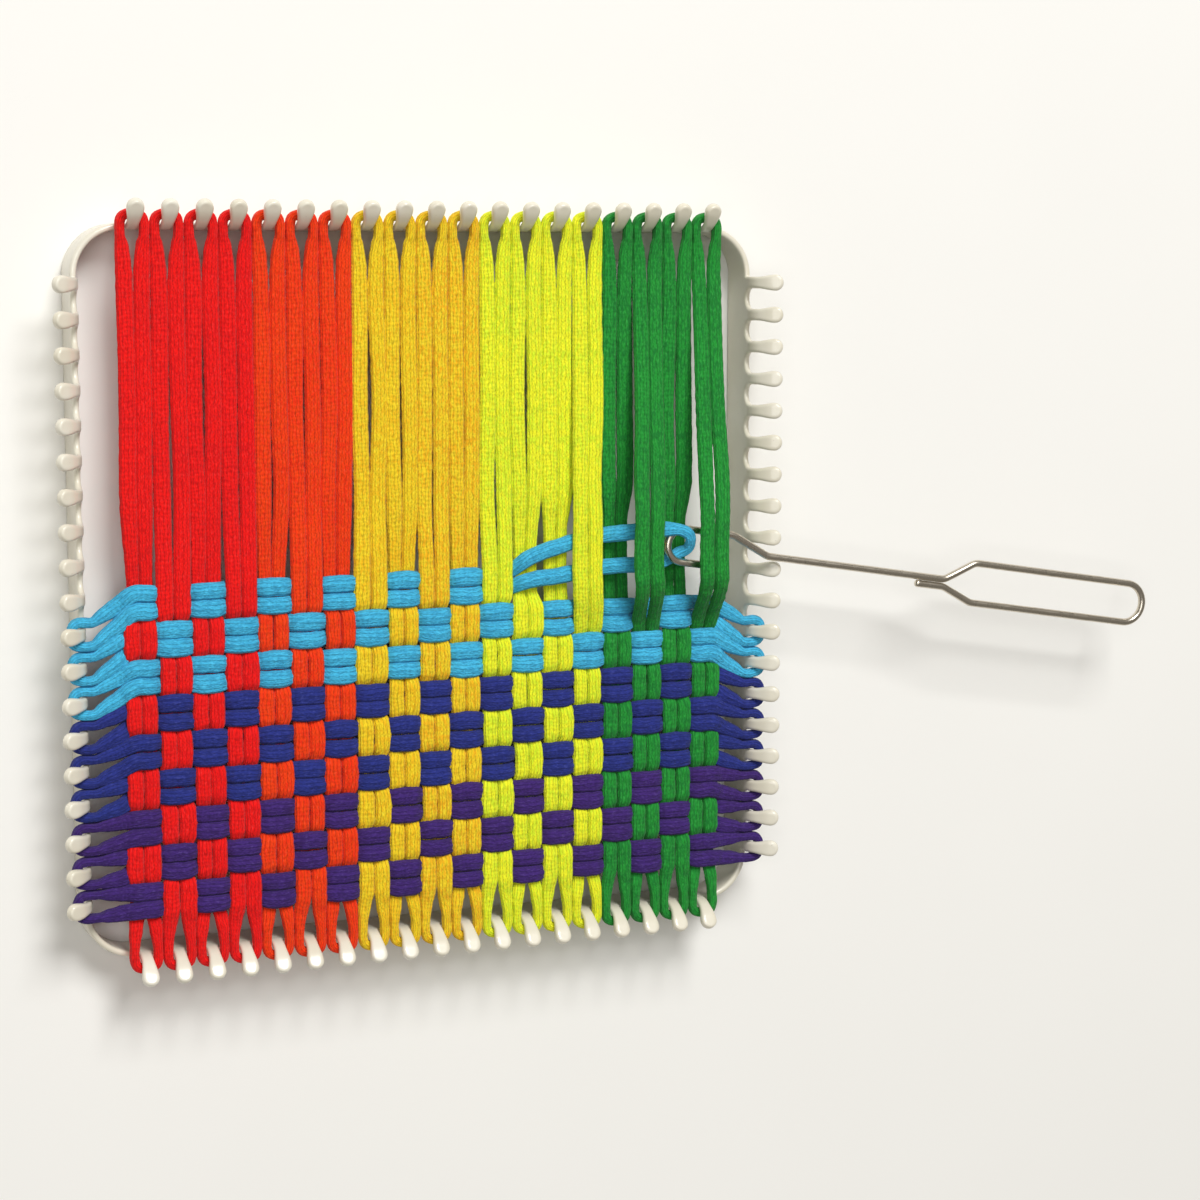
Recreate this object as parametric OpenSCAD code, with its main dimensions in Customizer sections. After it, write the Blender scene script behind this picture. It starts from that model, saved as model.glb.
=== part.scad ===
// Potholder loom: a one-piece enamelled metal frame with a row of pegs on each side,
// stretched fabric loops woven on it, and the wire hook that is pulling one loop across.
// X runs to the right, Y to the far side, Z up. The origin is the centre of the frame on its base plane.

/* [Frame] */
// Clear width inside the walls, the same both ways
inside_w = 178; // [174:0.5:186]
// Thickness of the enamelled sheet
sheet = 1.6; // [1.2:0.1:1.8]
// Height of the plain wall, up to the bottoms of the notches and at the corners
wall_h = 11; // [8:0.5:12]
// Height at which the pegs start to lean outwards
bend_z = 12; // [11.5:0.1:12.5]
// Radius of that bend at the middle of the sheet
bend_r = 6.5; // [5.5:0.1:7.5]
// Lean of a peg's tip away from upright, in degrees
peg_lean = 62; // [55:1:66]
// Height of the peg tips above the table
peg_top = 20; // [19:0.1:20.3]

/* [Pegs] */
// Number of pegs on a side
pegs = 19; // [19:1:19]
// Distance from peg to peg
peg_pitch = 8.45; // [8.3:0.05:8.7]
// Width of a peg's neck
neck_w = 3.1; // [2.7:0.1:3.2]
// Radius of a peg's rounded head
head_r = 2.15; // [1.8:0.05:2.3]

/* [Loops] */
// Width of one flattened strand of an upright loop
warp_w = 3.7; // [3.3:0.05:3.8]
// Width of one flattened strand of a crossing loop
weft_w = 4; // [3.4:0.05:4.3]
// Thickness of a flattened strand
strand_t = 2.3; // [1.8:0.05:2.4]
// Width of a strand squeezed in at a peg
squeezed_w = 2.4; // [1.9:0.05:2.4]
// Height of a strand squeezed in at a peg
squeezed_t = 3; // [2.4:0.1:3.1]
// Height of the middle of the weaving above the table
weave_z = 14; // [13.8:0.1:14.3]
// Clear space left between strands, pegs and wire
clearance = 0.15; // [0.1:0.05:0.2]

/* [Weaving] */
// First row that holds a crossing loop, counted from the far side
first_row = 11; // [10:1:12]
// Distance from row to row in the weaving
row_pitch = 9.3; // [9.1:0.05:9.45]
// How far an upright strand rises and falls
warp_rise = 1.6; // [1.5:0.05:2]
// How far a crossing strand rises and falls
weft_rise = 2.7; // [2.4:0.05:3]
// Length over which an upright strand stays level at a crossing
level_run = 5.6; // [5:0.1:6]

/* [Hook] */
// Diameter of the hook's wire
wire_d = 2; // [1.6:0.1:2.2]
// Distance between the two limbs of the crook
crook_gap = 8.8; // [8.4:0.1:9.4]
// Height of the wire's middle above the table
hook_z = 21.5; // [21.4:0.1:22]
// Turn of the hook away from straight across the loom, in degrees
hook_turn = 9; // [8:0.5:10]
// Length of the free limb
free_limb = 7; // [5:0.5:8]
// Length of the limb that leads to the shank
long_limb = 14; // [13:0.5:15]
// Length of the slanted run from the limb to the shank
slant_run = 11; // [9:0.5:13]
// Length of the hook from crook to handle end
hook_l = 150; // [135:1:180]
// Length of the handle's wire loop
handle_l = 66; // [50:1:80]
// Distance between the two sides of the handle's loop
handle_gap = 11; // [9:0.5:13]

/* [Hidden] */
$fn = 48;
mid = (pegs + 1) / 2;
half_in = inside_w / 2;
half_out = half_in + sheet;
last_peg = (pegs - 1) / 2 * peg_pitch;
// Plain edge between the last neck and the corner
end_land = 0.4;
straight = last_peg + neck_w / 2 + end_land;
corner_r = half_in - straight;
notch_r = (peg_pitch - neck_w) / 2;

// The leaning part of a peg: an arc, then a straight tip
lean_in = bend_r * (1 - cos(peg_lean));
bend_top = bend_z + bend_r * sin(peg_lean);
tip_l = (peg_top - bend_top - sheet / 2 * sin(peg_lean)) / cos(peg_lean);
bend_steps = 6;
lean_at_weave = bend_r - sqrt(pow(bend_r, 2) - pow(weave_z - bend_z, 2));

// Where the two strands of a loop lie, from the middle of the loop
warp_off = warp_w / 2 + clearance / 2;
weft_off = weft_w / 2 + clearance / 2;
peg_off = neck_w / 2 + clearance + squeezed_w / 2;
// A loop turns round its peg in three points, which clear the edges of the neck.
// It is squeezed until just inside the wall, and has its full width a little further in.
turn_room = 1;
turn_side = half_out + squeezed_w / 4;
turn_tip = half_out + lean_at_weave + clearance + squeezed_w / 2 + turn_room;
inner_end = half_in - 1.5;
full_width_at = half_in - 9;
// From the middle of one strand to the middle of a strand that lies on it
stack = strand_t + 2 * clearance;
// How far the pulled loop climbs or falls beneath half the width of an upright loop
climb = 0.75;

// The last row lies a little beyond its peg
last_row_up = 0.5;

// Middle of the crook: just left of the last column but one, and on the far side of the first row
crook_left = 1.1;
crook_beyond = 8.95;
crook_r = crook_gap / 2;
crook_x = col_x(pegs - 1) - crook_left;
crook_y = row_y(first_row) + crook_beyond;
over_wire = hook_z + wire_d / 2 + clearance + strand_t / 2;
under_wire = hook_z - wire_d / 2 - clearance - strand_t / 2;
// Inner bends of the wire, the angle from one of its rings to the next, and its sides
elbow_r = 4;
bend_step = 22.5;
wire_sides = 10;
// Length over which the handle's loop opens, and in which the wire's end lies against the shank
handle_neck = 9;

function loop_name(stem, n) = str(stem, n < 10 ? "0" : "", n);
function col_x(c) = (c - mid) * peg_pitch;
function peg_y(r) = (mid - r) * peg_pitch;
function row_y(r) = peg_y(pegs) + last_row_up + (pegs - r) * row_pitch;
function flip(list) = [for (i = [len(list) - 1:-1:0]) list[i]];

// The pulled loop leaves its row at column 13 and climbs to the hook.
// Each entry is how far its far and near strands lie beyond the row, and their heights, column by column.
pulled_from = 13;
pulled = [
    [6.75, 0.95, weave_z + 2.4, weave_z + 2.4],
    [9.55, 1.85, weave_z + 2.6, weave_z + 2.6],
    [11.35, 3.05, weave_z + 1.2, weave_z + 1.2],
    [12.55, 4.05, weave_z + 4.4, weave_z + 4],
    [13.35, 4.15, hook_z + 0.5, under_wire - 0.4]
];
pulled_to = pulled_from + len(pulled) - 1;
function pulled_y(c, strand) = row_y(first_row) + pulled[c - pulled_from][strand];

// The first row is on top at every odd column, and each row after it is woven the other way.
// Past column 13 the pulled loop has changed over.
function changed_over(r, c) = r == first_row && c > pulled_from;
function weft_on_top(r, c) = (r - first_row + c + (changed_over(r, c) ? 0 : 1)) % 2 == 0;
function warp_z(r, c) = weave_z + (weft_on_top(r, c) ? -1 : 1) * warp_rise;
function weft_z(r, c) = weave_z + (weft_on_top(r, c) ? 1 : -1) * weft_rise;

// Upright loops 15, 17 and 19 are held up over the pulled loop and the hook
function is_lifted(c) = c > pulled_from && !weft_on_top(first_row, c);
function lifted_z(c) =
    !is_lifted(c) ? weave_z - warp_rise :
    c < pulled_to ? pulled[c - pulled_from][2] + stack + climb :
    c == pulled_to ? over_wire + stack - climb :
    over_wire + clearance;
function lifted_far(c) =
    c <= pulled_to ? pulled_y(c, 0) + level_run / 2 : crook_y + crook_r + wire_d / 2;
function lifted_near(c) =
    c <= pulled_to ? pulled_y(c, 1) - level_run / 2 : crook_y - crook_r - 2 * wire_d;

// A point of a loop's path is its place, then the strand's width and thickness there
function flat_strand(x, y, z, w) = [x, y, z, w, strand_t];
function squeezed(x, y, z) = [x, y, z, squeezed_w, squeezed_t];

function warp_crossing(c, r, side) =
    let (x = col_x(c) + side * warp_off)
    r == first_row && c >= pulled_from
        ? [for (y = [lifted_far(c), lifted_near(c)]) flat_strand(x, y, lifted_z(c), warp_w)]
        : [
            for (s = (r == first_row + 1 && is_lifted(c)) ? [-1] : [1, -1])
                flat_strand(x, row_y(r) + s * level_run / 2, warp_z(r, c), warp_w)
        ];

// One strand of an upright loop, from the far side to the near side
function warp_strand(c, side) = concat(
    [
        squeezed(col_x(c) + side * peg_off, inner_end, weave_z),
        flat_strand(col_x(c) + side * warp_off, full_width_at, weave_z, warp_w)
    ],
    [for (r = [first_row:pegs]) each warp_crossing(c, r, side)],
    [squeezed(col_x(c) + side * peg_off, -inner_end, weave_z)]
);

function warp_turn(c, end) = [
    for (s = [-end, 0, end])
        squeezed(col_x(c) + s * peg_off, end * (s == 0 ? turn_tip : turn_side), weave_z)
];

function warp_path(c) = concat(
    warp_turn(c, 1), warp_strand(c, 1), warp_turn(c, -1), flip(warp_strand(c, -1))
);

// One strand of a crossing loop, from the left wall up to a column
function weft_strand(r, side, last) = concat(
    [squeezed(-inner_end, peg_y(r) + side * peg_off, weave_z)],
    [
        for (c = [1:last])
            flat_strand(col_x(c), row_y(r) + side * weft_off, weft_z(r, c), weft_w)
    ]
);

function weft_turn(r, end) = [
    for (s = [end, 0, -end])
        squeezed(end * (s == 0 ? turn_tip : turn_side), peg_y(r) + s * peg_off, weave_z)
];

function weft_end(r, side) = [squeezed(inner_end, peg_y(r) + side * peg_off, weave_z)];

function weft_path(r) = concat(
    weft_turn(r, -1), weft_strand(r, 1, pegs), weft_end(r, 1),
    weft_turn(r, 1), weft_end(r, -1), flip(weft_strand(r, -1, pegs))
);

function pulled_strand(far) = [
    for (i = [0:len(pulled) - 1])
        flat_strand(
            col_x(pulled_from + i), pulled_y(pulled_from + i, far ? 0 : 1), pulled[i][far ? 2 : 3],
            weft_w
        )
];

// The end of the pulled loop: over the far limb, down through the crook and back under the bend.
// Each point is counted from the middle of the crook.
function caught_end() = [
    for (p = [
        [-2.2, crook_r - 0.1, over_wire + 0.1],
        [1.2, crook_r - 1.8, over_wire - 0.3],
        [1.3, -0.6, hook_z],
        [-0.9, 2.1 - crook_r, under_wire + 0.3],
        [-3.4, 0.7 - crook_r, under_wire - 0.1]
    ])
        [crook_x + p[0], crook_y + p[1], p[2], squeezed_w, strand_t - 0.2]
];

function pulled_path(r) = concat(
    weft_turn(r, -1), weft_strand(r, 1, pulled_from - 1), pulled_strand(true), caught_end(),
    flip(pulled_strand(false)), flip(weft_strand(r, -1, pulled_from - 1))
);

function spot(p) = [p[0], p[1], p[2]];

// Six points round a strand, flat above and below and thin at its edges
function section(p, before, after) =
    let (
        along = spot(after) - spot(before),
        ahead = along / norm(along),
        across = [-ahead[1], ahead[0], 0] / norm([ahead[0], ahead[1]]),
        up = cross(ahead, across)
    )
    [
        for (q = [[1, 0], [0.3, 1], [-0.3, 1], [-1, 0], [-0.3, -1], [0.3, -1]])
            spot(p) + across * q[0] * p[3] / 2 + up * q[1] * p[4] / 2
    ];

// A closed loop of cord: the sections along its path, joined ring to ring
module closed_strand(path) {
    n = len(path);
    sides = 6;
    points = [
        for (i = [0:n - 1]) each section(path[i], path[(i + n - 1) % n], path[(i + 1) % n])
    ];
    faces = [
        for (i = [0:n - 1], j = [0:sides - 1])
            let (
                here = i * sides,
                next = (i + 1) % n * sides,
                k = (j + 1) % sides
            )
            each [[here + j, next + k, here + k], [here + j, next + j, next + k]]
    ];
    polyhedron(points, faces);
}

// Front view of one side: the plain wall, the notches and the pegs with their round heads
module comb_outline() {
    difference() {
        translate([-straight, 0]) square([2 * straight, peg_top - head_r]);
        for (i = [1:pegs - 1]) translate([col_x(i) + peg_pitch / 2, wall_h]) {
            translate([0, notch_r]) circle(notch_r);
            translate([-notch_r, notch_r]) square([2 * notch_r, peg_top]);
        }
        for (s = [-1, 1]) translate([s * straight, wall_h + peg_top / 2])
            square([2 * (straight - last_peg) - neck_w, peg_top], center = true);
    }
    for (i = [1:pegs]) translate([col_x(i), peg_top - head_r]) circle(head_r);
}

// Section of one side: upright wall, bend and leaning tip, drawn up its outer face and down its inner one
module wall_section() {
    axis = [sheet / 2 + bend_r, bend_z];
    function bend(r, a) = axis + r * [-cos(a), sin(a)];
    tip = tip_l * [sin(peg_lean), cos(peg_lean)];
    arc = [for (i = [0:bend_steps]) i * peg_lean / bend_steps];
    inner = bend_r + sheet / 2;
    outer = bend_r - sheet / 2;
    polygon(concat(
        [[0, 0], [sheet, 0]],
        [for (a = arc) bend(outer, a)],
        [bend(outer, peg_lean) + tip, bend(inner, peg_lean) + tip],
        [for (a = flip(arc)) bend(inner, a)]
    ));
}

module frame_side() {
    intersection() {
        translate([0, 2 * half_in, 0]) rotate([90, 0, 0]) linear_extrude(2 * half_in) comb_outline();
        translate([-straight, half_in, 0]) rotate([90, 0, 90]) linear_extrude(2 * straight)
            wall_section();
    }
}

module loom_frame() {
    color("ivory") for (turn = [0:90:270]) rotate(turn) {
        frame_side();
        translate([straight, straight, 0]) rotate_extrude(angle = 90)
            translate([corner_r, 0]) square([sheet, wall_h]);
    }
}

// Middle line of a wire bent in one plane through corner points, each [x, y, bend radius]
function bent_line(corners) =
    let (
        last = len(corners) - 1,
        at = [for (k = corners) [k[0], k[1]]],
        step = [for (i = [0:last - 1]) (at[i + 1] - at[i]) / norm(at[i + 1] - at[i])]
    )
    concat(
        [at[0]],
        [
            for (i = [1:last - 1])
                let (
                    cross_z = step[i - 1][0] * step[i][1] - step[i - 1][1] * step[i][0],
                    turned = atan2(cross_z, step[i - 1] * step[i]),
                    left = sign(turned) * [-step[i - 1][1], step[i - 1][0]],
                    r = corners[i][2],
                    steps = ceil(abs(turned) / bend_step),
                    start = at[i] - step[i - 1] * r * tan(abs(turned) / 2)
                )
                for (k = [0:steps])
                    let (a = abs(turned) * k / steps)
                    start + r * (sin(a) * step[i - 1] + (1 - cos(a)) * left)
        ],
        [at[last]]
    );

function tidy(line) = [
    for (i = [0:len(line) - 1]) if (i == 0 || norm(line[i] - line[i - 1]) > 0.01) line[i]
];

// Round wire along a flat line, closed at both ends
module wire(line, d) {
    n = len(line);
    points = [
        for (i = [0:n - 1])
            let (
                along = line[min(i + 1, n - 1)] - line[max(i - 1, 0)],
                across = [-along[1], along[0]] / norm(along)
            )
            for (j = [0:wire_sides - 1])
                let (a = 360 * j / wire_sides, w = across * cos(a) * d / 2)
                [line[i][0] + w[0], line[i][1] + w[1], sin(a) * d / 2]
    ];
    walls = [
        for (i = [0:n - 2], j = [0:wire_sides - 1])
            let (here = i * wire_sides, next = here + wire_sides, k = (j + 1) % wire_sides)
            each [[here + j, next + k, here + k], [here + j, next + j, next + k]]
    ];
    caps = [
        for (j = [1:wire_sides - 2])
            each [
                [0, j, j + 1],
                [(n - 1) * wire_sides, (n - 1) * wire_sides + j + 1, (n - 1) * wire_sides + j]
            ]
    ];
    polyhedron(points, concat(walls, caps));
}

module hook() {
    shank_end = hook_l - handle_l - crook_r;
    handle_end = hook_l - crook_r - wire_d / 2;
    side = handle_gap / 2;
    color("silver") translate([crook_x, crook_y, hook_z]) rotate(-hook_turn) wire(tidy(bent_line([
        [free_limb, -crook_r, 0],
        [-crook_r, -crook_r, crook_r],
        [-crook_r, crook_r, crook_r],
        [long_limb, crook_r, elbow_r],
        [long_limb + slant_run, 0, elbow_r],
        [shank_end, 0, elbow_r],
        [shank_end + handle_neck, side, elbow_r],
        [handle_end, side, side],
        [handle_end, -side, side],
        [shank_end + handle_neck, -side, elbow_r],
        [shank_end, -wire_d - clearance, elbow_r],
        [shank_end - handle_neck, -wire_d - clearance, 0]
    ])), wire_d);
}

function warp_colour(c) =
    c < 5 ? "red" : c < 8 ? "orangered" : c < 10 ? "gold" : c < 12 ? "orange" :
    c < 16 ? "greenyellow" : "forestgreen";
function weft_colour(r) =
    r < first_row + 3 ? "deepskyblue" : r < first_row + 6 ? "navy" : "indigo";

module warp_loop(c) {
    color(warp_colour(c)) closed_strand(warp_path(c));
}

module weft_loop(r) {
    color(weft_colour(r)) closed_strand(r == first_row ? pulled_path(r) : weft_path(r));
}

loom_frame();
hook();
for (c = [1:pegs])
    warp_loop(c);
for (r = [first_row:pegs])
    weft_loop(r);
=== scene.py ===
import itertools
import math

import bmesh
import bpy
import numpy as np
from mathutils import Matrix, Vector


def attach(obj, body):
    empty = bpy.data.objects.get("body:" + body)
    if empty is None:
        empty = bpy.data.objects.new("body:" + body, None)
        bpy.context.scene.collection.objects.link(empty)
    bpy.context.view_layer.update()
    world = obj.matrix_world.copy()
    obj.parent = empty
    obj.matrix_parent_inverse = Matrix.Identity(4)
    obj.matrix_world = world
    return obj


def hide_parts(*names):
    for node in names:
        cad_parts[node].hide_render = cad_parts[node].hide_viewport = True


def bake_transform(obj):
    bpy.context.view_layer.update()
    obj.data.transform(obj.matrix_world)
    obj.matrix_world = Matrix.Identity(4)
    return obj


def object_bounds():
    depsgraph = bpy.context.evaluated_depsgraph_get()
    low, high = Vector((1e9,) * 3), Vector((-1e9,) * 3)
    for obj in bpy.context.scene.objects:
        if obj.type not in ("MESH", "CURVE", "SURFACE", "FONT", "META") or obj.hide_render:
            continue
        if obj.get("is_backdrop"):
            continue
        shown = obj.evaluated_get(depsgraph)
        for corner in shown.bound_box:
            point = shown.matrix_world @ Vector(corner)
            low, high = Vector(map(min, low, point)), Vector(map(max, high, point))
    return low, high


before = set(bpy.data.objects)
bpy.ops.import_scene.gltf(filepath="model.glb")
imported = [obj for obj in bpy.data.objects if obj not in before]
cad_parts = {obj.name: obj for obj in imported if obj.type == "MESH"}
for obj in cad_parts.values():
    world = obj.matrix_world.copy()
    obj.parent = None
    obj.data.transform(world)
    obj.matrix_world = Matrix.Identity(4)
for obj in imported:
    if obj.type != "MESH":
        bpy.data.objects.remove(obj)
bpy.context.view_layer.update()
mm = 0.001

# Sizes that several pieces share, in millimetres
loom = {
    "pegs": 19,
    "pitch": 8.45,  # from peg to peg
    "neck": 3.1,  # width of a peg below its head
    "halfInside": 89,  # from the middle of the loom to a wall
    "sheet": 1.6,
    "weaveHeight": 14,
    "firstRow": 11,  # the pulled loop's row, counted from the far side as pegs are
    "rowPitch": 9.3,
    "lastRowUp": 0.5,  # how far the nearest row lies beyond its pegs
}
middle = (loom["pegs"] + 1) / 2
wallMiddle = loom["halfInside"] + loom["sheet"] / 2


def columnX(c):  # an upright loop and its pegs, counted from the left
    return (c - middle) * loom["pitch"]


def pegY(r):  # a peg of the left and right sides, counted from the far side
    return (middle - r) * loom["pitch"]


def rowY(r):  # a woven row, whose pitch is wider than the pegs'
    return pegY(loom["pegs"]) + loom["lastRowUp"] + (loom["pegs"] - r) * loom["rowPitch"]


# Meshes from grids of points

def gridFaces(rows, columns, closedRows, closedColumns, first=0):
    # Quads between neighbouring points of a grid; a closed direction joins its last line to its first
    i = np.arange(rows if closedRows else rows - 1)
    j = np.arange(columns if closedColumns else columns - 1)
    i, j = [a.ravel() for a in np.meshgrid(i, j, indexing="ij")]
    iNext, jNext = (i + 1) % rows, (j + 1) % columns
    corners = [i * columns + j, iNext * columns + j, iNext * columns + jNext, i * columns + jNext]
    return np.stack(corners, 1) + first


def meshPiece(name, points, faces, uv=None):
    # Puts point and face arrays, in millimetres, into a mesh object that lies at the origin
    mesh = bpy.data.meshes.new(name)
    mesh.vertices.add(len(points))
    mesh.vertices.foreach_set("co", (points * mm).astype(np.float32).ravel())
    mesh.loops.add(faces.size)
    mesh.loops.foreach_set("vertex_index", faces.astype(np.int32).ravel())
    mesh.polygons.add(len(faces))
    mesh.polygons.foreach_set("loop_start", np.arange(0, faces.size, faces.shape[1], dtype=np.int32))
    if uv is not None:
        layer = mesh.uv_layers.new(name="alongAndAround")
        layer.data.foreach_set("uv", uv.astype(np.float32).ravel())
    mesh.update(calc_edges=True)
    mesh.validate()
    mesh.polygons.foreach_set("use_smooth", np.ones(len(mesh.polygons), bool))
    piece = bpy.data.objects.new(name, mesh)
    bpy.context.scene.collection.objects.link(piece)
    return piece


def tubePiece(name, grid, along, closed):
    # A grid of rings becomes a tube. Along is each ring's place in mm, which the material reads with the
    # place round the ring as a UV map. An open tube's ends are drawn to a point by its own rings.
    rings, sides = grid.shape[:2]
    faces = gridFaces(rings, sides, closed, True)
    uStart, vStart = np.divmod(faces, sides)
    wrapU = (uStart[:, [1, 2]] == 0).any(1) & (uStart[:, [0, 3]] > 1).any(1)
    lengths = np.append(along, 2 * along[-1] - along[-2])
    u = lengths[uStart]
    u[wrapU, 1] = u[wrapU, 2] = lengths[rings]
    v = vStart / sides
    v[vStart[:, 0] == sides - 1, 2:] = 1
    return meshPiece(name, grid.reshape(-1, 3), faces, np.stack([u, v], -1))


def mergePoints(piece, distance):
    # Joins points that coincide where patches meet, drops what has no area and turns faces outwards
    work = bmesh.new()
    work.from_mesh(piece.data)
    bmesh.ops.remove_doubles(work, verts=work.verts, dist=distance * mm)
    bmesh.ops.dissolve_degenerate(work, edges=work.edges, dist=distance * mm)
    bmesh.ops.recalc_face_normals(work, faces=work.faces)
    work.to_mesh(piece.data)
    work.free()


# Materials

class Value:  # a socket that takes part in Python sums: each sum adds a Math node
    def __init__(self, finish, socket):
        self.finish, self.socket = finish, socket

    def maths(self, operation, a, b=0.0):
        return self.finish.node("ShaderNodeMath", {"operation": operation}, {0: a, 1: b})

    def __add__(self, other):
        return self.maths("ADD", self, other)

    def __sub__(self, other):
        return self.maths("SUBTRACT", self, other)

    def __rsub__(self, other):
        return self.maths("SUBTRACT", other, self)

    def __mul__(self, other):
        return self.maths("MULTIPLY", self, other)

    def __truediv__(self, other):
        return self.maths("DIVIDE", self, other)

    def __pow__(self, other):
        return self.maths("POWER", self, other)

    __radd__, __rmul__ = __add__, __mul__

    def part(self):
        return self.maths("FRACT", self)

    def size(self):
        return self.maths("ABSOLUTE", self)

    def wave(self):
        return self.maths("COSINE", self)

    def between(self, low, high):
        return self.finish.node("ShaderNodeMapRange", {"interpolation_type": "SMOOTHSTEP"},
                                {"Value": self, "From Min": low, "From Max": high})


class Finish:  # one material: its constants are set on the shader, the rest comes through node()
    def __init__(self, name, **constants):
        self.material = bpy.data.materials.new(name)
        self.material.use_nodes = True
        self.tree = self.material.node_tree
        self.shader = self.tree.nodes["Principled BSDF"]
        self.shade(**constants)

    def set(self, made, sockets):
        for key, value in sockets.items():
            if isinstance(value, Value):
                self.tree.links.new(value.socket, made.inputs[key])
            else:
                made.inputs[key].default_value = value

    def node(self, kind, settings, sockets, output=0):
        made = self.tree.nodes.new(kind)
        for key, value in settings.items():
            setattr(made, key, value)
        self.set(made, sockets)
        return Value(self, made.outputs[output])

    def objectPlace(self):
        return self.node("ShaderNodeTexCoord", {}, {}, 3)

    def uvPlace(self):
        return self.node("ShaderNodeUVMap", {"uv_map": "alongAndAround"}, {})

    def noise(self, place, scale, detail=2.0):
        return self.node("ShaderNodeTexNoise", {}, {"Vector": place, "Scale": scale, "Detail": detail})

    def streaks(self, uv, scale, detail):  # noise drawn out by a scale along the piece and one round it
        return self.noise(self.node("ShaderNodeMapping", {}, {"Vector": uv, "Scale": scale}), 1.0, detail)

    def mix(self, factor, first, second):
        return self.node("ShaderNodeMix", {"data_type": "RGBA"}, {0: factor, 6: first, 7: second}, 2)

    def bump(self, height, distance):
        sockets = {"Height": height, "Distance": distance * mm, "Strength": 1.0}
        return self.node("ShaderNodeBump", {}, sockets)

    def shade(self, **sockets):
        self.set(self.shader, {k.replace("_", " "): v for k, v in sockets.items()})
        return self.material


knit = {
    "wales": 14,  # columns of stitches round a strand
    "stitch": 1.05,  # length of one stitch in mm
    "slant": 0.45,  # how far its legs run along the strand, in stitches
    "depth": 0.22,  # how far the surface stands out, in mm
    "relief": (0.45, 0.9, 0.35),  # shares of the stitches, the fibres and the fuzz in that
    "fibres": (0.85, 38.0, 1.0),  # flecks to a mm along a strand and to a turn round it
    "yarn": (0.5, 15.0, 1.0),  # the same for the mottling of the dye
    "patches": 75.0,  # scales of the dye's patches, of uneven stitches and of the fuzz
    "uneven": 330.0,
    "fuzz": 2400.0,
    "shadeAndDeepYarn": 0.5,  # share of the dye's colour kept in the painted shade between stitches and on the sunken, deeper fibres
    "pale": 1.15,  # the same on raised fibres, paler yarn with a painted highlight, and the white added there as painted highlight
    "highlightWhite": 0.028,
}


def knittedCotton(name, colour, mottle):
    # Chevrons blurred by fibres: the legs of each stitch slant away from the middle of their wale, wales
    # part in a groove, and long flecks of paler and deeper yarn lie along the strand, on a mottled dye.
    # Painted shade darkens the grooves between stitches, and the flecks are paler with a painted highlight
    # where the fibres stand out and deeper with painted shade where they sink.
    cloth = Finish(name, Sheen_Weight=0.08, Sheen_Roughness=0.5, Specular_IOR_Level=0.2)
    place, uv = cloth.objectPlace(), cloth.uvPlace()
    along, around = [cloth.node("ShaderNodeSeparateXYZ", {}, {0: uv}, axis) for axis in (0, 1)]
    wobble = cloth.noise(place, knit["uneven"]) - 0.5
    fromMiddle = ((around * knit["wales"] + wobble * 1.1).part() - 0.5).size() * 2
    stitch = along / knit["stitch"] + fromMiddle * knit["slant"] + wobble * 2.2
    legs = (stitch * (2 * math.pi)).wave() * 0.5 + 0.5
    groove = 1 - fromMiddle ** 3
    stitches = legs * 0.6 * groove + groove * 0.4
    fibres = cloth.streaks(uv, knit["fibres"], 4.0)
    yarn = cloth.streaks(uv, knit["yarn"], 3.0)
    fuzz = cloth.noise(place, knit["fuzz"])
    stitchShare, fibreShare, fuzzShare = knit["relief"]
    height = stitches * stitchShare + fibres * fibreShare + fuzz * fuzzShare
    patches = cloth.noise(place, knit["patches"]) - 0.5
    shadeAndDeepYarn = [c * knit["shadeAndDeepYarn"] for c in colour] + [1]
    pale = [min(1.0, c * knit["pale"] + knit["highlightWhite"]) for c in colour] + [1]
    body = cloth.mix((yarn + patches * 0.35).between(0.38, 0.58), list(mottle) + [1], list(colour) + [1])
    # Paler yarn flecks, with a painted highlight and added white where the fibres stand out
    body = cloth.mix(fibres.between(0.54, 0.66) * 0.7, body, pale)
    # Painted shade: the dye deepens where the stitches sink, in the grooves between them
    body = cloth.mix(stitches.between(0.0, 0.45) * (0.6 + fuzz * 0.5), shadeAndDeepYarn, body)
    # Deeper yarn flecks, with painted shade where the fibres sink
    body = cloth.mix(fibres.between(0.46, 0.36) * 0.5, body, shadeAndDeepYarn)
    return cloth.shade(Base_Color=body, Roughness=0.78 + fuzz * 0.18,
                       Normal=cloth.bump(height, knit["depth"]))


enamelCoat = {
    "peel": 700.0,  # scales of the orange peel, the flow marks and the specks
    "flow": 45.0,
    "specks": 1500.0,
    "creams": ((0.77, 0.72, 0.58, 1), (0.84, 0.80, 0.68, 1)),
    "speckColour": (0.45, 0.38, 0.28, 1),
    "depth": 0.02,  # of the peel and the flow marks, in mm
}


def creamEnamel(name):
    # Baked enamel: faint orange peel, flow marks that shift its cream and its gloss a little, a few specks
    enamel = Finish(name, IOR=1.5, Coat_Roughness=0.08)
    place = enamel.objectPlace()
    peel = enamel.noise(place, enamelCoat["peel"])
    flow = enamel.noise(place, enamelCoat["flow"], 3.0)
    specks = enamel.noise(place, enamelCoat["specks"], 1.0).between(0.76, 0.8)
    cream = enamel.mix(flow.between(0.35, 0.7), *enamelCoat["creams"])
    cream = enamel.mix(specks * 0.35, cream, enamelCoat["speckColour"])
    return enamel.shade(Base_Color=cream, Roughness=0.24 + flow * 0.16, Coat_Weight=0.35 + peel * 0.2,
                        Normal=enamel.bump(peel * 0.6 + flow * 2.0, enamelCoat["depth"]))


wireSkin = {
    "dieLines": (0.05, 60.0, 1.0),  # to a mm along the wire and to a turn round it
    "marks": 300.0,
    "tones": ((0.68, 0.62, 0.52, 1), (0.47, 0.42, 0.34, 1)),
    "depth": 0.03,  # of lines and marks, in mm
}


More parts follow.
